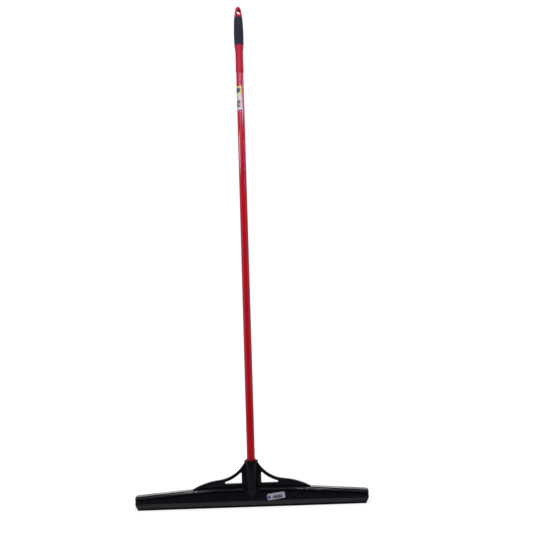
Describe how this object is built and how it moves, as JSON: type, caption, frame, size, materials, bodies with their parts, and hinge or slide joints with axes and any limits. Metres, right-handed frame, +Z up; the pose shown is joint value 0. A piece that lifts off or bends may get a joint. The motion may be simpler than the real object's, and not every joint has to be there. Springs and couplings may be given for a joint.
{
  "type": "floor squeegee",
  "caption": "Long moulded head with foam blades, a socket braced by gussets, and a screw-in tube handle with a ribbed grip and a hanging eye.",
  "frame": {"origin": "on the floor under the middle of the head, where the handle's axis meets it", "axes": "+X along the head, -Y towards the front with the label, +Z up along the handle"},
  "size_m": [0.606, 0.048, 1.4125],
  "materials": {
    "head_plastic": "glossy black moulded polypropylene",
    "blade_foam": "black EVA foam, fine closed cells",
    "label_paper": "coated label paper",
    "ferrule_plastic": "red moulded plastic",
    "tube_steel": "thin welded steel tube",
    "pole_film": "red plastic film, satin gloss",
    "cap_plastic": "red moulded plastic",
    "grip_rubber": "soft ribbed black grip",
    "pole_label_paper": "coated label paper"
  },
  "bodies": {
    "head": {"head_body": "head_plastic", "front_blade": "blade_foam", "rear_blade": "blade_foam", "head_label": "label_paper"},
    "tube": {"handle_tube": "tube_steel"},
    "handle": {"threaded_ferrule": "ferrule_plastic", "tube_sleeve": "pole_film", "grip_core": "cap_plastic", "grip_sleeve": "grip_rubber", "handle_label": "pole_label_paper"}
  },
  "joints": [
    {"name": "handle_rise", "type": "slide", "parent": "head", "child": "tube", "axis": [0, 0, 1], "range_m": [0, 0.02032]},
    {"name": "handle_turn", "type": "hinge", "parent": "tube", "child": "handle", "pos_m": [0, 0, 0.1], "axis": [0, 0, 1], "range_deg": [0, 1440]}
  ],
  "couplings": [
    {"joint": "handle_turn", "follows": "handle_rise", "rad_per_m": 1236.8}
  ]
}
